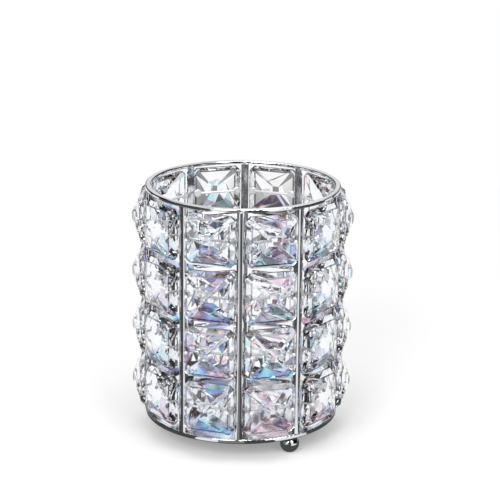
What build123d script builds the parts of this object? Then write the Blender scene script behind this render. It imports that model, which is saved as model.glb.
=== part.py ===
from build123d import *
import math
import os

# Crystal makeup brush cup: rows of faceted square crystals held in the windows of a slender metal cage.
# Millimetres, +Z up. The origin is on the surface it stands on, on the cup's axis.
# The front is -Y, with a post exactly in front and a column of crystals each side of it.

# The pattern of the cage
COLUMNS = 10
ROWS = 4
ROW_GAP = 2.4
BOTTOM_GAP = 2.3
TOP_GAP = 1.3

# One crystal: a flat-backed square bead with cut corners and a stepped pyramid in front
CRYSTAL_SIDE = 22.2
CORNER_CUT = 1.9
BACK_CHAMFER_INSET = 0.6
BACK_CHAMFER_RISE = 0.5
SIDE_WALL = 1.3
BEVEL_INSET = 1.4
BEVEL_RISE = 2.0
STEP_INSET = 0.7
STEP_RISE = 0.2
TABLE_SIDE = 3.2
TABLE_RISE = 3.6

# How a crystal sits between two posts
SIDE_CLEARANCE = 0.15
BACK_CLEARANCE = 0.25

# Metal rings and posts
RIM_WIDTH = 2.6
RIM_HEIGHT = 1.6
RIM_ROUNDING = 0.55
BASE_RING_WIDTH = 3.0
BASE_RING_HEIGHT = 2.0
BASE_BAND_WIDTH = 1.6
BASE_RING_ROUNDING = 0.5
LEDGE_THICKNESS = 0.8
PLATE_CLEARANCE = 0.15
POST_WIDTH = 3.3
POST_SIDE_THICKNESS = 0.9
POST_CROWN = 0.6

# The wire behind each crystal, with an eye at each end, and the pins through the eyes
WIRE_DIAMETER = 1.1
EYE_DIAMETER = 2.5
WIRE_SEAT_GAP = 0.1
PIN_DIAMETER = 1.0
PIN_CLEARANCE = 0.15
PIN_BALL_DIAMETER = 1.6
PIN_BALL_RISE = 0.9
PIN_TAIL_DIAMETER = 2.0
PIN_TAIL_THICKNESS = 0.4

# Ball feet. Each stands under a post: the first is one post to the right of the front post.
FOOT_COUNT = 3
FIRST_FOOT_POST = 1
POSTS_PER_FOOT = COLUMNS // FOOT_COUNT
BALL_DIAMETER = 8.3
BALL_FLAT = 0.25
NECK_DIAMETER = 4.0
NECK_CLEARANCE = 0.35
BALL_DROP = 4.6

# Solids made upwards from their base, or downwards from their top
STANDING = (Align.CENTER, Align.CENTER, Align.MIN)
HANGING = (Align.CENTER, Align.CENTER, Align.MAX)

# Sizes that follow. A cell is the window between two posts, seen square on:
# "across" is sideways from its middle and "out" is away from the cup's axis.
pitch_angle = 360 / COLUMNS
half_angle = math.radians(pitch_angle / 2)
crystal_half = CRYSTAL_SIDE / 2
shoulder_across = crystal_half + SIDE_CLEARANCE
shoulder_radius = (shoulder_across + POST_WIDTH / 2 * math.cos(half_angle)) / math.sin(half_angle)
shoulder_out = shoulder_radius * math.cos(half_angle) + POST_WIDTH / 2 * math.sin(half_angle)
ring_radius = shoulder_radius + POST_CROWN
back_out = shoulder_out + BACK_CLEARANCE
row_pitch = CRYSTAL_SIDE + ROW_GAP
post_length = BOTTOM_GAP + ROWS * CRYSTAL_SIDE + (ROWS - 1) * ROW_GAP + TOP_GAP
post_thickness = POST_SIDE_THICKNESS + POST_CROWN
ball_radius = BALL_DIAMETER / 2
ledge_inner_radius = ring_radius - BASE_RING_WIDTH
band_inner_radius = ring_radius - BASE_BAND_WIDTH
foot_circle_radius = ledge_inner_radius - NECK_DIAMETER / 2 - NECK_CLEARANCE

# The wire lies on the crystal's back, and its eyes reach the sides of the posts
wire_radius = WIRE_DIAMETER / 2
eye_radius = EYE_DIAMETER / 2
wire_out = back_out - WIRE_SEAT_GAP - wire_radius
post_side_across = shoulder_across - (shoulder_out - wire_out) * math.tan(half_angle)
eye_reach = eye_radius + (wire_radius + WIRE_SEAT_GAP) / math.cos(half_angle)
pin_across = post_side_across - eye_reach
pin_radius = PIN_DIAMETER / 2
hole_radius = pin_radius + PIN_CLEARANCE

# Heights above the surface that the cup stands on
plate_bottom = ball_radius - BALL_FLAT + BALL_DROP
ring_bottom = plate_bottom - LEDGE_THICKNESS
ring_top = ring_bottom + BASE_RING_HEIGHT
rim_bottom = ring_top + post_length
first_row = ring_top + BOTTOM_GAP + crystal_half

# Levels of the crystal's facets, as half side and height above its flat back
bevel_half = crystal_half - BEVEL_INSET
step_half = bevel_half - STEP_INSET
edge_level = BACK_CHAMFER_RISE + SIDE_WALL
bevel_level = edge_level + BEVEL_RISE
step_level = bevel_level + STEP_RISE
table_level = step_level + TABLE_RISE

CRYSTAL_LEVELS = [
    (crystal_half - BACK_CHAMFER_INSET, 0),
    (crystal_half, BACK_CHAMFER_RISE),
    (crystal_half, edge_level),
    (bevel_half, bevel_level),
    (step_half, step_level),
    (TABLE_SIDE / 2, table_level),
]


def cut_square(half, level):
    """Corners of a square with cut corners, facing -Y, at a height above the crystal's back."""
    inner = half - CORNER_CUT * half / crystal_half
    outline = [
        (inner, half), (-inner, half), (-half, inner), (-half, -inner),
        (-inner, -half), (inner, -half), (half, -inner), (half, inner),
    ]
    return [Vector(x, -level, z) for x, z in outline]


def crystal_blank():
    """The faceted bead before it is drilled, its back on the XZ plane and its crown towards -Y."""
    levels = [cut_square(half, level) for half, level in CRYSTAL_LEVELS]
    faces = [Face(Wire.make_polygon(levels[0])), Face(Wire.make_polygon(levels[-1]))]
    for lower, upper in zip(levels, levels[1:]):
        for i in range(len(lower)):
            j = (i + 1) % len(lower)
            faces.append(Face(Wire.make_polygon([lower[i], lower[j], upper[j], upper[i]])))
    return Solid(Shell(faces))


def crystal():
    """A bead with its two pin holes, drilled front to back at mid height near its sides."""
    bead = crystal_blank()
    for side in (-1, 1):
        drill = Cylinder(hole_radius, 3 * table_level, rotation=(90, 0, 0))
        bead = bead - Pos(side * pin_across, 0, 0) * drill
    return bead


def crown_level(across):
    """Height of the crystal's stepped facets above its back, at a distance from its middle."""
    return bevel_level + (bevel_half - across) * STEP_RISE / STEP_INSET


def post():
    """A half-round strip in front of the axis, standing on the bottom ring."""
    back = -ring_radius + post_thickness
    shoulder = -shoulder_radius
    half = POST_WIDTH / 2
    outline = Polyline((-half, shoulder), (-half, back), (half, back), (half, shoulder))
    crown = ThreePointArc((half, shoulder), (0, -ring_radius), (-half, shoulder))
    section = make_face(outline + crown)
    return Pos(0, 0, ring_top) * extrude(section, post_length)


def wire_clip():
    """A straight wire behind one crystal, with an eye at each end that reaches the post."""
    run_half = pin_across - eye_radius
    wire = Pos(0, -wire_out, 0) * Cylinder(wire_radius, 2 * run_half, rotation=(0, 90, 0))
    for side in (-1, 1):
        eye = Torus(eye_radius, wire_radius, rotation=(90, 0, 0))
        wire = wire + Pos(side * pin_across, -wire_out, 0) * eye
    return wire


def pin():
    """A pin through one crystal and the eye behind it, with a ball in front and a flat tail behind."""
    ball_out = back_out + crown_level(pin_across) + PIN_BALL_RISE
    tail_front = wire_out - wire_radius - WIRE_SEAT_GAP
    tail_back = tail_front - PIN_TAIL_THICKNESS
    half = pin_radius
    tail_half = PIN_TAIL_DIAMETER / 2
    outline = [
        (0, tail_back), (tail_half, tail_back), (tail_half, tail_front),
        (half, tail_front), (half, ball_out), (0, ball_out),
    ]
    shank = revolve(make_face(Polyline(*outline, close=True)), Axis.Y)
    ball = Pos(0, ball_out, 0) * Sphere(PIN_BALL_DIAMETER / 2)
    return Rot(0, 0, 180) * (shank + ball)


def top_rim():
    """The ring round the mouth, of rounded flat section, on the tops of the posts."""
    middle = (ring_radius - RIM_WIDTH / 2, rim_bottom + RIM_HEIGHT / 2)
    section = Plane.XZ * Pos(*middle) * RectangleRounded(RIM_WIDTH, RIM_HEIGHT, RIM_ROUNDING)
    return revolve(section, Axis.Z)


def bottom_ring():
    """The ring under the posts, stepped inside so that the plate rests on its ledge."""
    ledge_top = ring_bottom + LEDGE_THICKNESS
    outline = [
        (ring_radius, ring_bottom), (ring_radius, ring_top), (band_inner_radius, ring_top),
        (band_inner_radius, ledge_top), (ledge_inner_radius, ledge_top), (ledge_inner_radius, ring_bottom),
    ]
    section = make_face(Polyline(*outline, close=True))
    corners = section.vertices().sort_by(Axis.X)[-2:]
    section = fillet(corners, BASE_RING_ROUNDING)
    return revolve(Plane.XZ * section, Axis.Z)


def base_plate():
    """The floor of the cup, a disc lying on the bottom ring's ledge."""
    radius = band_inner_radius - PLATE_CLEARANCE
    thickness = BASE_RING_HEIGHT - LEDGE_THICKNESS
    return Pos(0, 0, plate_bottom) * Cylinder(radius, thickness, align=STANDING)


def ball_foot():
    """A ball with a small flat below and a neck up to the plate, on the axis of its own neck."""
    centre = ball_radius - BALL_FLAT
    ball = Pos(0, 0, centre) * Sphere(ball_radius)
    floor = Box(BALL_DIAMETER, BALL_DIAMETER, BALL_DIAMETER, align=HANGING)
    neck = Pos(0, 0, centre) * Cylinder(NECK_DIAMETER / 2, BALL_DROP, align=STANDING)
    return ball - floor + neck


def write(node, shape):
    """Writes one node's STEP file."""
    shape.label = node
    export_step(shape, f"parts/{node}.step")


def column_turn(column):
    """Turn about Z of a column of crystals, counted from the front towards +X."""
    return Rot(0, 0, (column + 0.5) * pitch_angle)


def build():
    """Makes every node in its place."""
    os.makedirs("parts", exist_ok=True)
    bead = crystal()
    clip = wire_clip()
    rivet = pin()
    clips = {"lower": [], "upper": []}
    pins = {"lower": [], "upper": []}
    for row in range(ROWS):
        level = "lower" if row < ROWS / 2 else "upper"
        height = first_row + row * row_pitch
        for column in range(COLUMNS):
            place = column_turn(column) * Pos(0, 0, height)
            write(f"crystal_row{row + 1}_col{column + 1:02d}", place * Pos(0, -back_out, 0) * bead)
            clips[level].append(place * clip)
            pins[level].append(place * Pos(-pin_across, 0, 0) * rivet)
            pins[level].append(place * Pos(pin_across, 0, 0) * rivet)
    for level in clips:
        write(f"wire_clips_{level}", Compound(children=clips[level]))
        write(f"crystal_pins_{level}", Compound(children=pins[level]))
    for index in range(COLUMNS):
        write(f"post_{index + 1:02d}", Rot(0, 0, index * pitch_angle) * post())
    for index in range(FOOT_COUNT):
        post_number = FIRST_FOOT_POST + index * POSTS_PER_FOOT
        turn = Rot(0, 0, post_number * pitch_angle)
        write(f"ball_foot_{index + 1}", turn * Pos(0, -foot_circle_radius, 0) * ball_foot())
    write("top_rim", top_rim())
    write("bottom_ring", bottom_ring())
    write("base_plate", base_plate())


build()
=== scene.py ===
"""Looks of a crystal makeup brush cup: chrome cage, faceted rainbow crystals, wire clips and ball feet.

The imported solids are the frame. Each class below dresses one sub-assembly of the cup. Sizes are in metres,
and the frame is the cup's own: +Z up along its axis, -Y the front, z = 0 the surface that it stands on.
"""

import logging
import math
from dataclasses import dataclass, field
from enum import Enum

import bpy
import numpy as np
from mathutils import Matrix, Vector

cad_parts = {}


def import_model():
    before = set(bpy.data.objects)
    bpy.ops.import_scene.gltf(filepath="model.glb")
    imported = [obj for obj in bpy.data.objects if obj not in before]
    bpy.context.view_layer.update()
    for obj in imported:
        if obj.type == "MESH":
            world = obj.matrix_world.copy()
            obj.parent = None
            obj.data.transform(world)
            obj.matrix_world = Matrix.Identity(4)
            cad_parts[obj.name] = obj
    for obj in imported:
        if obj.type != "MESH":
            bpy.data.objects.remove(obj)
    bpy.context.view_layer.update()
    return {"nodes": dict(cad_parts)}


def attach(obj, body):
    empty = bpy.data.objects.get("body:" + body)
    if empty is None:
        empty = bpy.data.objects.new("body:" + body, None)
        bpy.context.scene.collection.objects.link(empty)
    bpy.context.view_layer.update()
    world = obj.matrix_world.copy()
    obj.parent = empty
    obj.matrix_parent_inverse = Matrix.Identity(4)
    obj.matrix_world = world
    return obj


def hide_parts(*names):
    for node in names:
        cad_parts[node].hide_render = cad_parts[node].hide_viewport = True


log = logging.getLogger("brush_cup")

Colour = tuple[float, float, float]
Place = tuple[float, float, float]
Socket = bpy.types.NodeSocket

WHITE = (1.0, 1.0, 1.0, 1.0)
# The four facet numbers; edge is the share of painted shade.
FACET_NUMBERS = ("hue", "strength", "edge", "veil")


class Metal(Enum):
    """The kinds of metal piece, by the words that their nodes' names start with."""

    TOP_RIM = "top_rim"
    BOTTOM_RING = "bottom_ring"
    POST = "post"
    WIRE_CLIPS = "wire_clips"
    CRYSTAL_PINS = "crystal_pins"
    BASE_PLATE = "base_plate"
    BALL_FOOT = "ball_foot"


class SeenBy(Enum):
    """What sees the set, by the names of the Light Path node's outputs."""

    CAMERA = "Is Camera Ray"
    MIRRORS = "Is Glossy Ray"
    GLASS = "Is Transmission Ray"


@dataclass(frozen=True)
class Fade:
    """A level that goes from first to last while what it follows goes from start to end."""

    start: float
    end: float
    first: float = 0.0
    last: float = 1.0
    smooth: bool = True


class Sheet:
    """A node tree, with short calls that add and join its nodes."""

    def __init__(self, name: str, tree: bpy.types.NodeTree | None = None) -> None:
        """Starts empty.

        Args:
            name: the name of the material that is made where there is no tree.
            tree: a tree to use instead.
        """
        if tree is None:
            self.material = bpy.data.materials.new(name)
            self.material.use_nodes = True
            tree = self.material.node_tree
        self.tree = tree
        self.tree.nodes.clear()

    def add(self, kind: str, inputs: dict | None = None, **settings: object) -> bpy.types.Node:
        """Adds a node.

        Args:
            kind: the node's type, without the word ShaderNode.
            inputs: socket name or number to a value or to the socket that feeds it.
            settings: the node's own properties.

        Returns:
            The new node.
        """
        node = self.tree.nodes.new("ShaderNode" + kind)
        for key, value in settings.items():
            setattr(node, key, value)
        for key, value in (inputs or {}).items():
            if isinstance(value, bpy.types.NodeSocket):
                self.tree.links.new(value, node.inputs[key])
            else:
                node.inputs[key].default_value = value
        return node

    def number(self, operation: str, *values: float | Socket) -> Socket:
        """Works out one number from others.

        Args:
            operation: the Math node's operation.
            values: numbers or sockets.

        Returns:
            The socket with the result.
        """
        return self.add("Math", dict(enumerate(values)), operation=operation).outputs[0]

    def off(self, value: Socket, middle: float) -> Socket:
        """Works out how far a number is from a middle, either way.

        Args:
            value: the socket with the number.
            middle: the middle.

        Returns:
            The socket with the distance.
        """
        return self.number("ABSOLUTE", self.number("SUBTRACT", value, middle))

    def fade(self, value: Socket, fade: Fade) -> Socket:
        """Follows a number with a level, which stays at first before the start and at last past the end.

        Args:
            value: the socket with the number.
            fade: the start, the end and their levels.

        Returns:
            The socket with the level.
        """
        ends = {"From Min": fade.start, "From Max": fade.end, "To Min": fade.first, "To Max": fade.last}
        shape = "SMOOTHSTEP" if fade.smooth else "LINEAR"
        return self.add("MapRange", {"Value": value, **ends}, interpolation_type=shape).outputs[0]

    def noise(self, place: Socket, scale: float, detail: float) -> Socket:
        """Adds a noise.

        Args:
            place: the socket with the place.
            scale: how fine it is.
            detail: how many finer layers it has.

        Returns:
            The socket with the noise, from 0 to 1.
        """
        return self.add("TexNoise", {"Vector": place, "Scale": scale, "Detail": detail}).outputs[0]

    def ramp(self, factor: Socket, stops: tuple[tuple[float, Colour], ...]) -> Socket:
        """Turns a number into a colour along a row of stops.

        Args:
            factor: the socket with the number.
            stops: positions from 0 to 1 and their colours.

        Returns:
            The colour socket.
        """
        node = self.add("ValToRGB", {0: factor})
        elements = node.color_ramp.elements
        while len(elements) < len(stops):
            elements.new(1.0)
        for element, (position, colour) in zip(elements, stops):
            element.position = position
            element.color = (*colour, 1.0)
        return node.outputs[0]

    def tint(self, share: Socket, under: Colour | Socket, over: Colour | Socket) -> Socket:
        """Mixes two colours.

        Args:
            share: the socket with the upper colour's share.
            under: the lower colour.
            over: the upper colour.

        Returns:
            The colour socket.
        """
        lower = (*under, 1.0) if isinstance(under, tuple) else under
        upper = (*over, 1.0) if isinstance(over, tuple) else over
        return self.add("Mix", {0: share, 6: lower, 7: upper}, data_type="RGBA").outputs[2]

    def seen(self, viewer: SeenBy) -> Socket:
        """Gives 1 to rays of one kind and 0 to the others."""
        return self.add("LightPath").outputs[viewer.value]

    def show(self, viewer: SeenBy, level: float | Socket, others: float | Socket) -> Socket:
        """Shows one level to one viewer and another to the others.

        Args:
            viewer: the viewer.
            level: what it sees.
            others: what the others see.

        Returns:
            The socket with the level.
        """
        return self.add("Mix", {0: self.seen(viewer), 2: others, 3: level}).outputs[0]

    def finish(self, shader: Socket) -> bpy.types.Material:
        """Joins the last shader to the output.

        Args:
            shader: the shader socket.

        Returns:
            The finished material.
        """
        self.add("OutputMaterial", {0: shader})
        return self.material


def dress(piece: bpy.types.Object, material: bpy.types.Material) -> None:
    """Puts a material on the whole of a piece.

    Args:
        piece: a CAD node's object or a new piece.
        material: the material.
    """
    if not piece.material_slots:
        piece.data.materials.append(material)
    for slot in piece.material_slots:
        slot.material = material


@dataclass(frozen=True)
class Cage:
    """The pattern of the cup that the sub-assemblies follow. Row 1 is the lowest.

    The first row's height is at the middle of its crystals, and the crystals' backs are square to the spokes
    of the cage, at the given distance from its axis.
    """

    columns: int = 10
    rows: int = 4
    first_row: float = 0.0231
    row_pitch: float = 0.0246
    crystal_back: float = 0.040214
    ring_bottom: float = 0.0077
    rim_top: float = 0.1109

    @property
    def pitch_angle(self) -> float:
        """The angle between two columns, in radians."""
        return 2 * math.pi / self.columns

    @property
    def middle(self) -> Vector:
        """The middle of the cage, halfway up its axis."""
        return Vector((0, 0, (self.ring_bottom + self.rim_top) / 2))


@dataclass(frozen=True)
class Chrome:
    """Bright plated metal with faint smudges and hairline wipe marks.

    The marks are where the stronger of two noises is high: broad smudges, and hairlines stretched upright.
    """

    name: str
    colour: Colour
    dull: Colour
    roughness: float = 0.045
    smudge: float = 0.09
    smudge_scale: float = 90.0
    smudge_detail: float = 5.0
    hairline_scale: float = 1400.0
    hairline_detail: float = 2.0
    hairline_stretch: float = 0.05
    hairline_share: float = 0.9
    mark_blend: float = 0.1
    marks: Fade = Fade(0.45, 0.75)
    ripple_scale: float = 260.0
    ripple_detail: float = 1.0
    ripple_depth: float = 0.00002
    ripple_strength: float = 0.5
    metal: float = 1.0

    def make(self) -> bpy.types.Material:
        """Builds the material: the marks mix two tints and two roughnesses, and a ripple bends the mirror.

        Returns:
            The material.
        """
        sheet = Sheet(self.name)
        place = sheet.add("TexCoord").outputs["Object"]
        stretch = (1.0, 1.0, self.hairline_stretch)
        upright = sheet.add("Mapping", {"Vector": place, "Scale": stretch})
        smudges = sheet.noise(place, self.smudge_scale, self.smudge_detail)
        hairlines = sheet.noise(upright.outputs[0], self.hairline_scale, self.hairline_detail)
        hairlines = sheet.number("MULTIPLY", hairlines, self.hairline_share)
        marks = sheet.fade(sheet.number("SMOOTH_MAX", smudges, hairlines, self.mark_blend), self.marks)
        gloss = sheet.fade(marks, Fade(0.0, 1.0, self.roughness, self.smudge, smooth=False))
        ripple = sheet.noise(place, self.ripple_scale, self.ripple_detail)
        bump = sheet.add(
            "Bump", {"Height": ripple, "Strength": self.ripple_strength, "Distance": self.ripple_depth}
        )
        shader = sheet.add(
            "BsdfPrincipled",
            {
                "Base Color": sheet.ramp(marks, ((0.0, self.colour), (1.0, self.dull))),
                "Metallic": self.metal,
                "Roughness": gloss,
                "Normal": bump.outputs[0],
            },
        )
        return sheet.finish(shader.outputs[0])


@dataclass(frozen=True)
class CutCrystal:
    """Clear cut crystal with a rainbow coating.

    Four numbers on each facet say how it looks: its hue along the rainbow, how strongly that colour tints
    it, how much painted shade greys it, standing in for the dark that glass shows at its edges, and how much
    of a white veil lies on it.
    """

    name: str = "cut_crystal"
    clear: Colour = (0.992, 0.995, 1.0)
    # Painted shade: a dark grey mixed in by the edge number, standing in for the dark that glass shows at its
    # edges.
    painted_shade: Colour = (0.24, 0.24, 0.28)
    roughness: float = 0.0
    refraction: float = 1.54
    film_index: float = 1.28
    film_thin: float = 95.0
    film_thick: float = 130.0
    drift_scale: float = 95.0
    drift_detail: float = 2.0
    drift: float = 1.5
    slant: Fade = Fade(0.42, 0.62, first=1.0, last=0.1)
    rainbow: tuple[tuple[float, Colour], ...] = (
        (0.00, (0.070, 0.045, 0.160)),
        (0.12, (0.180, 0.140, 0.520)),
        (0.24, (0.120, 0.380, 0.800)),
        (0.36, (0.200, 0.740, 0.880)),
        (0.48, (0.560, 0.860, 0.960)),
        (0.58, (0.640, 0.480, 0.920)),
        (0.68, (0.220, 0.100, 0.320)),
        (0.78, (0.940, 0.380, 0.640)),
        (0.86, (0.940, 0.620, 0.520)),
        (0.93, (0.260, 0.080, 0.160)),
        (1.00, (0.070, 0.045, 0.160)),
    )

    def make(self) -> bpy.types.Material:
        """Builds the material.

        The facet's hue, shifted by a soft noise, picks a colour along the rainbow, and its strength says how
        much of that colour tints the clear crystal. A facet seen at a slant keeps little of the strength, so
        the crystals at the sides stay clear. The edge number then mixes in painted shade, a dark grey that
        stands in for the dark that glass shows at its edges, and the veil takes away from the part of the
        light that goes through. A thin film, whose thickness is in nanometres, weakens the reflections at the
        surface.

        Returns:
            The material.
        """
        sheet = Sheet(self.name)
        place = sheet.add("TexCoord").outputs["Object"]
        own_hue, strength, edge, veil = (
            sheet.add("Attribute", attribute_name=word).outputs["Fac"] for word in FACET_NUMBERS
        )
        facing = sheet.add("LayerWeight").outputs["Facing"]
        strength = sheet.number("MULTIPLY", strength, sheet.fade(facing, self.slant))
        noise = sheet.noise(place, self.drift_scale, self.drift_detail)
        hue = sheet.number("ADD", own_hue, sheet.number("MULTIPLY", noise, self.drift))
        rainbow = sheet.ramp(sheet.number("FRACT", hue), self.rainbow)
        tint = sheet.tint(strength, self.clear, rainbow)
        shader = sheet.add(
            "BsdfPrincipled",
            {
                # Painted shade: the edge number mixes the dark grey into the facet's colour.
                "Base Color": sheet.tint(edge, tint, self.painted_shade),
                "Roughness": self.roughness,
                "IOR": self.refraction,
                "Transmission Weight": sheet.number("SUBTRACT", 1.0, veil),
                "Thin Film Thickness": sheet.fade(
                    noise, Fade(0.0, 1.0, self.film_thin, self.film_thick, smooth=False)
                ),
                "Thin Film IOR": self.film_index,
            },
        )
        return sheet.finish(shader.outputs[0])


@dataclass(frozen=True)
class Level:
    """One level of a bead: half its width, its height above the back plane, and whether it is a circle."""

    half: float
    height: float
    is_round: bool = False


@dataclass(frozen=True)
class BeadCut:
    """The cut of one crystal: a cut-cornered square, a stepped pyramid in front and a round hollow behind."""

    side: float = 0.0222
    corner: float = 0.0019
    hollow_floor_half: float = 0.0016
    hollow_floor_height: float = 0.0017
    hollow_half: float = 0.0056
    hollow_height: float = 0.0013
    chamfer_inset: float = 0.0006
    chamfer_rise: float = 0.0005
    wall: float = 0.0013
    bevel_inset: float = 0.0014
    bevel_rise: float = 0.0020
    step_inset: float = 0.0007
    step_rise: float = 0.0002
    table_half: float = 0.0016
    table_rise: float = 0.0036

    def levels(self) -> tuple[Level, ...]:
        """The bead's levels, from the middle of its back, round its edge, to the table in front.

        Returns:
            The levels in order.
        """
        half = self.side / 2
        wall_top = self.chamfer_rise + self.wall
        bevel_half, bevel_top = half - self.bevel_inset, wall_top + self.bevel_rise
        step_half, step_top = bevel_half - self.step_inset, bevel_top + self.step_rise
        return (
            Level(self.hollow_floor_half, self.hollow_floor_height),
            Level(self.hollow_half, self.hollow_height, is_round=True),
            Level(half - self.chamfer_inset, 0.0),
            Level(half, self.chamfer_rise),
            Level(half, wall_top),
            Level(bevel_half, bevel_top),
            Level(step_half, step_top),
            Level(self.table_half, step_top + self.table_rise),
        )

    def outline(self, level: Level) -> np.ndarray:
        """One level's points, as across, up and out.

        The square with cut corners has a point at each end of its sides. The ray at a point's angle meets it
        at half / max(|cos|, |sin|, (|cos| + |sin|) / k), where k gives the cut. A circle has even steps.

        Args:
            level: the level.

        Returns:
            An array of points by three.
        """
        side_end = math.atan2(self.side / 2 - self.corner, self.side / 2)
        ends = np.array([-side_end, side_end])
        angle = (ends[None, :] + (math.pi / 2) * np.arange(4)[:, None]).ravel()
        if level.is_round:
            angle = angle[0] + 2 * math.pi * np.arange(angle.size) / angle.size
            reach = np.full(angle.size, level.half)
        else:
            cosine, sine = np.abs(np.cos(angle)), np.abs(np.sin(angle))
            cut = 2.0 - self.corner / (self.side / 2)
            reach = level.half / np.maximum(np.maximum(cosine, sine), (cosine + sine) / cut)
        return np.stack([reach * np.cos(angle), reach * np.sin(angle), np.full(angle.size, level.height)], -1)

    def facets(self) -> tuple[np.ndarray, list[list[int]]]:
        """The bead's points and faces: two triangles a step beside a circle, else a quad, and two caps.

        Returns:
            Points as across, up and out, and the faces' point numbers, outward.
        """
        levels = self.levels()
        outlines = [self.outline(level) for level in levels]
        count = len(outlines[0])
        step = np.arange(count)
        faces: list[list[int]] = [step[::-1].tolist()]
        for number, (lower, upper) in enumerate(zip(levels, levels[1:])):
            a, b = number * count + step, number * count + (step + 1) % count
            c, d = b + count, a + count
            if lower.is_round or upper.is_round:
                faces += np.stack([a, b, c], -1).tolist() + np.stack([a, c, d], -1).tolist()
            else:
                faces += np.stack([a, b, c, d], -1).tolist()
        faces.append(((len(levels) - 1) * count + step).tolist())
        return np.concatenate(outlines), faces


@dataclass(frozen=True)
class FacetPaint:
    """The rules that give each facet of a bead its four numbers.

    Facets are told apart by the outward and upward parts of their direction, and by where their middles are
    seen from the front. A middle's rise and width are its distances from the bead's middle, upward and
    sideways. The lower facets are about the lower quarter of the square, and the corner facets are where
    width and rise are nearly alike. The ledge is the narrow step round the pyramid. Chances are from 0 to 1.
    """

    front_out: float = 0.1
    strong_out: float = 0.6
    ledge_out: float = 0.95
    table_out: float = 0.99
    rear_out: float = -0.9
    chamfer_out: float = -0.5
    wall_out: float = 0.15
    level_up: float = 0.6
    lower_slope: float = 0.9
    corner_slope: float = 0.3
    front_spread: float = 0.06
    rear_spread: float = 0.16
    strong: float = 0.6
    faint: float = 0.05
    accent_chance: float = 0.12
    accent_least: float = 0.4
    accent_most: float = 0.9
    rear_chance: float = 0.6
    rear_strong: float = 0.95
    rear_faint: float = 0.2
    # Shares of painted shade, the dark grey that stands in for the dark that glass shows at its edges.
    wall_shade: float = 1.0
    chamfer_shade: float = 0.3
    ledge_shade: float = 0.9
    shaded_rear_chance: float = 0.25
    rear_shade: float = 0.85
    strong_veil: float = 0.10
    plain_veil: float = 0.05
    corner_veil: float = 0.08

    def numbers(
        self, up: np.ndarray, out: np.ndarray, centres: np.ndarray, random: np.random.Generator
    ) -> np.ndarray:
        """Chooses the four numbers of each facet of one bead.

        Every bead has its own hue, and its facets spread about it. Its lower facets take the colour strongly,
        in front and behind, the others in front hardly at all, and a few of the others behind take some. The
        upper and lower walls, their chamfers and the ledge get painted shade, a grey that stands in for the
        dark that glass shows at its edges, and so do some of the lower facets behind. The front has a thin
        veil.

        Args:
            up: upward part of each facet's direction.
            out: outward part of each facet's direction.
            centres: each facet's middle, as across and up from the bead's middle.
            random: the source of the bead's random numbers.

        Returns:
            Four columns, hue, strength, edge, which is the share of painted shade, and veil.
        """
        count = len(up)
        width, rise = np.abs(centres[:, 0]), centres[:, 1]
        front = out > self.front_out
        lower = rise < -self.lower_slope * width
        corner = np.abs(width - np.abs(rise)) < self.corner_slope * np.abs(rise)
        ledge = (out > self.ledge_out) & (out < self.table_out)
        pyramid = front & (out < self.ledge_out)
        strong = lower & (out > self.strong_out)
        rear = lower & (out < self.rear_out)
        level = np.abs(up) > self.level_up
        wall = level & (np.abs(out) < self.wall_out)
        chamfer = level & (out < self.chamfer_out)
        spread = np.where(front, self.front_spread, self.rear_spread)
        hue = random.random() + spread * random.uniform(-1.0, 1.0, count)
        accent = random.random(count) < self.accent_chance
        behind = np.where(accent, random.uniform(self.accent_least, self.accent_most, count), 0.0)
        chance = random.random(count)
        rear_strength = np.where(chance < self.rear_chance, self.rear_strong, self.rear_faint)
        behind = np.where(rear, rear_strength, behind)
        ahead = np.where(strong, self.strong, random.uniform(0.0, self.faint, count))
        strength = np.where(front, ahead, behind)
        # Painted shade: walls, chamfers, the ledge and some lower facets behind get a share of the dark grey.
        edge = np.where(wall, self.wall_shade, np.where(chamfer, self.chamfer_shade, 0.0))
        edge = np.where(rear & (chance < self.shaded_rear_chance), self.rear_shade, edge)
        edge = np.where(ledge & ~corner, self.ledge_shade, edge)
        cover = np.where(strong, self.strong_veil, random.uniform(0.0, self.plain_veil, count))
        veil = np.where(front & corner, self.corner_veil, np.where(pyramid, cover, 0.0))
        return np.stack([hue % 1.0, strength, edge, veil], -1)


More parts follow.
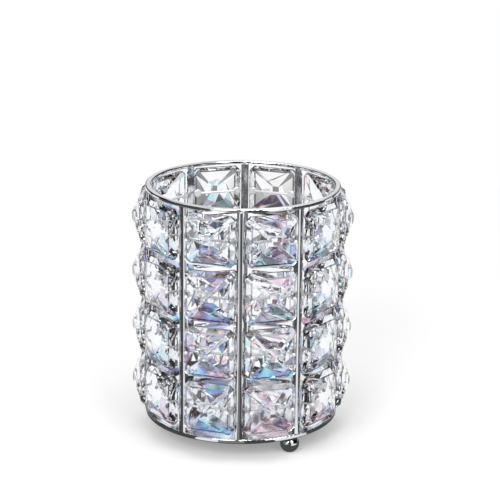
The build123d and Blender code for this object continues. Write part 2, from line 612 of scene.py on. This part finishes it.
@dataclass
class Crystals:
    """The forty cut crystals, one in each window of the cage."""

    cage: Cage
    finish: CutCrystal = field(default_factory=CutCrystal)
    cut: BeadCut = field(default_factory=BeadCut)
    paint: FacetPaint = field(default_factory=FacetPaint)
    slot: str = "crystal"
    seed: int = 11

    def bead(self, row: int, column: int, material: bpy.types.Material, random: np.random.Generator) -> None:
        """Makes one crystal in its place and lets it stand for its CAD node.

        A point is the bead's middle plus across times the tangent, up times +Z and out times the outward
        direction of its column.

        Args:
            row: its row, from 0.
            column: its column, from 0.
            material: its glass.
            random: the source of its random numbers.
        """
        points, faces = self.cut.facets()
        turn = (column + 0.5) * self.cage.pitch_angle
        tangent = np.array([math.cos(turn), math.sin(turn), 0.0])
        outward = np.array([math.sin(turn), -math.cos(turn), 0.0])
        upward = np.array([0.0, 0.0, 1.0])
        middle = self.cage.crystal_back * outward + (self.cage.first_row + row * self.cage.row_pitch) * upward
        places = middle + points @ np.stack([tangent, upward, outward])
        name = f"cut_crystal_r{row + 1}_c{column + 1:02d}"
        mesh = bpy.data.meshes.new(name)
        mesh.from_pydata(places.tolist(), [], faces)
        normals = np.zeros(len(faces) * 3)
        mesh.polygons.foreach_get("normal", normals)
        normals = normals.reshape(-1, 3)
        centres = np.array([points[face].mean(0) for face in faces])
        values = self.paint.numbers(normals[:, 2], normals @ outward, centres, random)
        for index, word in enumerate(FACET_NUMBERS):
            mesh.attributes.new(word, "FLOAT", "FACE").data.foreach_set("value", values[:, index])
        piece = bpy.data.objects.new(name, mesh)
        bpy.context.scene.collection.objects.link(piece)
        dress(piece, material)
        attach(piece, "root")
        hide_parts(f"crystal_row{row + 1}_col{column + 1:02d}")
        log.info("%s: %d facets", name, len(faces))

    def build(self) -> None:
        """Makes all the crystals, row by row."""
        material = self.finish.make()
        random = np.random.default_rng(self.seed)
        for row in range(self.cage.rows):
            for column in range(self.cage.columns):
                self.bead(row, column, material, random)


@dataclass
class MetalWork:
    """The rings, posts, clips, pins, plate and feet, which keep the meshes of their CAD nodes.

    The clips and pins show mostly through the crystals, so their plating is pale and half matt.
    """

    finishes: dict[Metal, Chrome] = field(
        default_factory=lambda: {
            Metal.TOP_RIM: Chrome("rim_chrome", (0.80, 0.81, 0.83), (0.66, 0.67, 0.69)),
            Metal.BOTTOM_RING: Chrome("ring_chrome", (0.78, 0.79, 0.81), (0.62, 0.63, 0.65)),
            Metal.POST: Chrome("post_chrome", (0.78, 0.79, 0.81), (0.64, 0.65, 0.67)),
            Metal.WIRE_CLIPS: Chrome(
                "wire_plating", (0.90, 0.91, 0.93), (0.80, 0.81, 0.83), roughness=0.2, metal=0.3
            ),
            Metal.CRYSTAL_PINS: Chrome(
                "pin_plating", (0.92, 0.93, 0.94), (0.82, 0.83, 0.84), roughness=0.2, metal=0.3
            ),
            Metal.BASE_PLATE: Chrome(
                "plate_chrome",
                (0.90, 0.91, 0.93),
                (0.78, 0.79, 0.81),
                roughness=0.05,
                smudge=0.12,
                smudge_scale=60.0,
            ),
            Metal.BALL_FOOT: Chrome("foot_chrome", (0.80, 0.81, 0.83), (0.66, 0.67, 0.69), roughness=0.03),
        }
    )

    def plate(self, nodes: dict[str, bpy.types.Object]) -> None:
        """Gives every metal piece its plating.

        Args:
            nodes: the frame's objects by name.
        """
        for kind, finish in self.finishes.items():
            material = finish.make()
            for name in nodes:
                if name.startswith(kind.value):
                    dress(nodes[name], material)
                    log.info("%s: %s", name, finish.name)


@dataclass(frozen=True)
class Card:
    """A card that mirrors see on the table.

    Its azimuth from the front and half its width are in degrees, and level 1 is white.
    """

    azimuth: float
    half: float
    level: float = 1.0


@dataclass
class PaperFloor:
    """A sheet of pale paper on a table, as wide as the room.

    The camera sees the paper a little brighter than it is, so that it comes out white but for the cup's
    shadow, and plain white far off. Mirrors see a dark table, with the paper behind the cup and cards round
    it. Glass sees white, with a dark part in front and a grey screen far behind.
    """

    half: float = 6.0
    cells: int = 4
    grey: float = 0.80
    white: float = 1.05
    far: Fade = Fade(0.22, 0.45)
    table_grey: float = 0.08
    paper_front: Fade = Fade(0.03, 0.10)
    paper_side: Fade = Fade(0.23, 0.16)
    paper_spread: float = 0.7
    cards: tuple[Card, ...] = (
        Card(-118.0, 7.0),
        Card(-26.0, 8.0),
        Card(-6.0, 9.0, level=0.25),
        Card(43.0, 13.0),
        Card(116.0, 7.0),
    )
    card_blend: float = 3.0
    card_start: Fade = Fade(0.050, 0.056, smooth=False)
    glass_front: Fade = Fade(-0.26, -0.20, first=0.04, smooth=False)
    screen_side: Fade = Fade(0.045, 0.075, first=0.28, smooth=False)
    screen_near: float = 0.28

    def mesh(self) -> bpy.types.Mesh:
        """Makes a flat grid of cells, whose corners are every pair of two rows of even steps.

        Returns:
            The mesh.
        """
        steps = np.linspace(-self.half, self.half, self.cells + 1)
        across, along = np.meshgrid(steps, steps)
        corners = np.stack([across.ravel(), along.ravel(), np.zeros(across.size)], -1)
        index = np.arange(across.size).reshape(across.shape)
        faces = np.stack([index[:-1, :-1], index[:-1, 1:], index[1:, 1:], index[1:, :-1]], -1).reshape(-1, 4)
        mesh = bpy.data.meshes.new("floor")
        mesh.from_pydata(corners.tolist(), [], faces.tolist())
        return mesh

    def mirrored(self, sheet: Sheet, across: Socket, along: Socket, radius: Socket) -> Socket:
        """Draws what mirrors see: the table, the paper behind, which widens with its distance, and the cards.

        Args:
            sheet: the material's node tree.
            across: the X of the place.
            along: the Y of the place.
            radius: the distance of the place from the cup's axis.

        Returns:
            The socket with the level.
        """
        beyond = sheet.number("MAXIMUM", sheet.number("SUBTRACT", along, self.paper_front.end), 0.0)
        widening = sheet.number("MULTIPLY", beyond, self.paper_spread)
        aside = sheet.number("SUBTRACT", sheet.number("ABSOLUTE", across), widening)
        behind = sheet.fade(along, self.paper_front)
        paper = sheet.number("MULTIPLY", behind, sheet.fade(aside, self.paper_side))
        picture = sheet.fade(paper, Fade(0.0, 1.0, first=self.table_grey, smooth=False))
        to_front = sheet.number("MULTIPLY", along, -1.0)
        azimuth = sheet.number("DEGREES", sheet.number("ARCTAN2", across, to_front))
        clear = sheet.fade(radius, self.card_start)
        for card in self.cards:
            edge = Fade(card.half + self.card_blend, card.half, last=card.level)
            white = sheet.fade(sheet.off(azimuth, card.azimuth), edge)
            picture = sheet.number("MAXIMUM", picture, sheet.number("MULTIPLY", white, clear))
        return picture

    def through_glass(self, sheet: Sheet, across: Socket, along: Socket) -> Socket:
        """Draws what glass sees: white, a dark part in front and a grey screen far behind the cup.

        Args:
            sheet: the material's node tree.
            across: the X of the place.
            along: the Y of the place.

        Returns:
            The socket with the level.
        """
        beside = sheet.fade(sheet.number("ABSOLUTE", across), self.screen_side)
        before = sheet.number("LESS_THAN", along, self.screen_near)
        screen = sheet.number("MAXIMUM", beside, before)
        return sheet.number("MULTIPLY", sheet.fade(along, self.glass_front), screen)

    def finish(self) -> bpy.types.Material:
        """Builds the paper: matt and a little lifted for the camera, and the drawn pictures for the others.

        Returns:
            The material.
        """
        sheet = Sheet("floor_paper")
        place = sheet.add("TexCoord").outputs["Object"]
        parts = sheet.add("SeparateXYZ", {0: place}).outputs
        radius = sheet.add("VectorMath", {0: place}, operation="LENGTH").outputs["Value"]
        mirrored = self.mirrored(sheet, parts["X"], parts["Y"], radius)
        through = self.through_glass(sheet, parts["X"], parts["Y"])
        picture = sheet.add("Emission", {1: sheet.show(SeenBy.GLASS, through, mirrored)})
        matt = sheet.add("BsdfDiffuse", {0: (self.grey, self.grey, self.grey, 1.0)})
        lift = sheet.number("MULTIPLY", sheet.seen(SeenBy.CAMERA), self.white - self.grey)
        lifted = sheet.add("Emission", {1: lift})
        paper = sheet.add("AddShader", {0: matt.outputs[0], 1: lifted.outputs[0]})
        plain = sheet.add("Emission", {0: WHITE, 1: 1.0})
        away = sheet.number("MULTIPLY", sheet.fade(radius, self.far), sheet.seen(SeenBy.CAMERA))
        paper = sheet.add("MixShader", {0: away, 1: paper.outputs[0], 2: plain.outputs[0]})
        drawn = sheet.number("MAXIMUM", sheet.seen(SeenBy.MIRRORS), sheet.seen(SeenBy.GLASS))
        either = sheet.add("MixShader", {0: drawn, 1: paper.outputs[0], 2: picture.outputs[0]})
        return sheet.finish(either.outputs[0])

    def lay(self) -> None:
        """Lays the floor."""
        mesh = self.mesh()
        mesh.materials.append(self.finish())
        floor = bpy.data.objects.new("floor", mesh)
        bpy.context.scene.collection.objects.link(floor)
        log.info("floor: paper on a table")


@dataclass
class Room:
    """The world round the set. A direction's parts are those of a unit arrow away from the cup.

    The camera sees it white, and it lights matt surfaces evenly. Mirrors see it dark, with a low white band
    behind, a white ceiling and two soft boxes in front. Glass sees it white, with a dark part round the
    camera and another overhead.
    """

    even_light: float = 0.60
    band_back: Fade = Fade(0.25, 0.60, first=0.03)
    band_side: Fade = Fade(0.10, 0.18, first=0.85, last=0.10)
    band_top: Fade = Fade(0.34, 0.40, first=1.0, last=0.14)
    ceiling: Fade = Fade(0.62, 0.70)
    box_aside: float = 0.50
    box_width: Fade = Fade(0.24, 0.18)
    box_height: float = 0.24
    box_rise: Fade = Fade(0.28, 0.22)
    glass_front: Fade = Fade(-0.76, -0.68, first=0.04)
    glass_top: Fade = Fade(0.70, 0.76, first=1.0, last=0.04)

    def mirrored(self, sheet: Sheet, across: Socket, back: Socket, up: Socket) -> Socket:
        """Draws what mirrors see: the dark room with its band, ceiling and soft boxes.

        Args:
            sheet: the world's node tree.
            across: the X of the direction.
            back: the Y of the direction.
            up: the Z of the direction.

        Returns:
            The socket with the level.
        """
        aside = sheet.number("ABSOLUTE", across)
        band = sheet.number("MULTIPLY", sheet.fade(back, self.band_back), sheet.fade(aside, self.band_side))
        band = sheet.number("MULTIPLY", band, sheet.fade(up, self.band_top))
        picture = sheet.number("MAXIMUM", band, sheet.fade(up, self.ceiling))
        wide = sheet.fade(sheet.off(aside, self.box_aside), self.box_width)
        high = sheet.fade(sheet.off(up, self.box_height), self.box_rise)
        in_front = sheet.number("LESS_THAN", back, 0.0)
        box = sheet.number("MULTIPLY", sheet.number("MULTIPLY", wide, high), in_front)
        return sheet.number("MAXIMUM", picture, box)

    def through_glass(self, sheet: Sheet, back: Socket, up: Socket) -> Socket:
        """Draws what glass sees: white, but dark round the camera and overhead.

        Args:
            sheet: the world's node tree.
            back: the Y of the direction.
            up: the Z of the direction.

        Returns:
            The socket with the level.
        """
        return sheet.number("MULTIPLY", sheet.fade(back, self.glass_front), sheet.fade(up, self.glass_top))

    def raise_walls(self) -> None:
        """Makes the world."""
        world = bpy.data.worlds.new("room")
        bpy.context.scene.world = world
        world.use_nodes = True
        sheet = Sheet("room", world.node_tree)
        parts = sheet.add("SeparateXYZ", {0: sheet.add("TexCoord").outputs["Generated"]}).outputs
        mirrored = self.mirrored(sheet, parts["X"], parts["Y"], parts["Z"])
        through = self.through_glass(sheet, parts["Y"], parts["Z"])
        level = sheet.show(SeenBy.MIRRORS, mirrored, self.even_light)
        level = sheet.show(SeenBy.GLASS, through, level)
        level = sheet.show(SeenBy.CAMERA, 1.0, level)
        light = sheet.add("Background", {0: WHITE, 1: level})
        sheet.add("OutputWorld", {0: light.outputs[0]})
        log.info("room: world")


@dataclass(frozen=True)
class SoftBox:
    """One rectangular studio lamp. Its power is in watts."""

    name: str
    place: Place
    size: tuple[float, float]
    power: float

    def hang(self, target: Vector) -> None:
        """Makes the lamp, facing the target.

        Args:
            target: the point that it lights.
        """
        data = bpy.data.lights.new(self.name, "AREA")
        data.shape = "RECTANGLE"
        data.size, data.size_y = self.size
        data.energy = self.power
        lamp = bpy.data.objects.new(self.name, data)
        lamp.location = self.place
        aim = (target - Vector(self.place)).normalized()
        lamp.rotation_mode = "QUATERNION"
        lamp.rotation_quaternion = aim.to_track_quat("-Z", "Y")
        lamp.visible_camera = False
        bpy.context.scene.collection.objects.link(lamp)
        log.info("%s: lamp", self.name)


@dataclass
class Studio:
    """The set that the cup stands in: floor, room and lamps."""

    floor: PaperFloor = field(default_factory=PaperFloor)
    room: Room = field(default_factory=Room)
    lamps: tuple[SoftBox, ...] = (
        SoftBox("key_box", (-0.45, -1.2, 0.9), (0.6, 0.6), 8.0),
        SoftBox("fill_box", (0.6, -1.1, 0.8), (0.4, 0.8), 4.0),
        SoftBox("top_box", (0.0, -0.25, 1.3), (0.8, 0.6), 4.0),
    )

    def build(self, target: Vector) -> None:
        """Makes floor, room and lamps.

        Args:
            target: the point that the lamps light.
        """
        self.floor.lay()
        self.room.raise_walls()
        for lamp in self.lamps:
            lamp.hang(target)


@dataclass
class Viewpoint:
    """The camera at the photograph's viewing angle. Angles are in degrees, lens and sensor in millimetres."""

    distance: float = 0.8417
    azimuth: float = 1.035
    sight_pitch: float = 18.163
    axis_pitch: float = 16.741
    yaw: float = 0.232
    roll: float = 0.652
    lens: float = 138.7
    sensor: float = 36.0
    clip_start: float = 0.01
    clip_end: float = 50.0

    def place(self, target: Vector) -> None:
        """Makes the camera and aims it.

        The place is on a sphere round the target. The aim is given by its own pitch and yaw, and the roll
        turns the camera about its aim.

        Args:
            target: the middle of the cage.
        """
        swing = math.radians(self.azimuth)
        heading = math.radians(self.yaw) - swing
        pitch = math.radians(self.sight_pitch)
        tilt = math.radians(self.axis_pitch)
        flat, rise = math.cos(pitch), math.sin(pitch)
        back = Vector((math.sin(swing) * flat, -math.cos(swing) * flat, rise))
        flat, rise = math.cos(tilt), -math.sin(tilt)
        ahead = Vector((math.sin(heading) * flat, math.cos(heading) * flat, rise))
        level = ahead.cross(Vector((0, 0, 1))).normalized()
        upright = level.cross(ahead)
        roll = math.radians(self.roll)
        right = level * math.cos(roll) + upright * math.sin(roll)
        up = upright * math.cos(roll) - level * math.sin(roll)
        data = bpy.data.cameras.new("viewpoint")
        data.lens, data.sensor_width, data.sensor_fit = self.lens, self.sensor, "AUTO"
        data.clip_start, data.clip_end = self.clip_start, self.clip_end
        camera = bpy.data.objects.new("viewpoint", data)
        bpy.context.scene.collection.objects.link(camera)
        turn = Matrix((right, up, -ahead)).transposed().to_4x4()
        camera.matrix_world = Matrix.Translation(target + back * self.distance) @ turn
        bpy.context.scene.camera = camera
        log.info("viewpoint: camera")


def main() -> None:
    """Loads the frame, dresses each sub-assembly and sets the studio."""
    logging.basicConfig(level=logging.INFO, format="%(name)s: %(message)s")
    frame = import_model()
    cage = Cage()
    Crystals(cage).build()
    MetalWork().plate(frame["nodes"])
    Studio().build(cage.middle)
    Viewpoint().place(cage.middle)
    bpy.context.scene.view_settings.view_transform = "Standard"


if __name__ == "__main__":
    main()
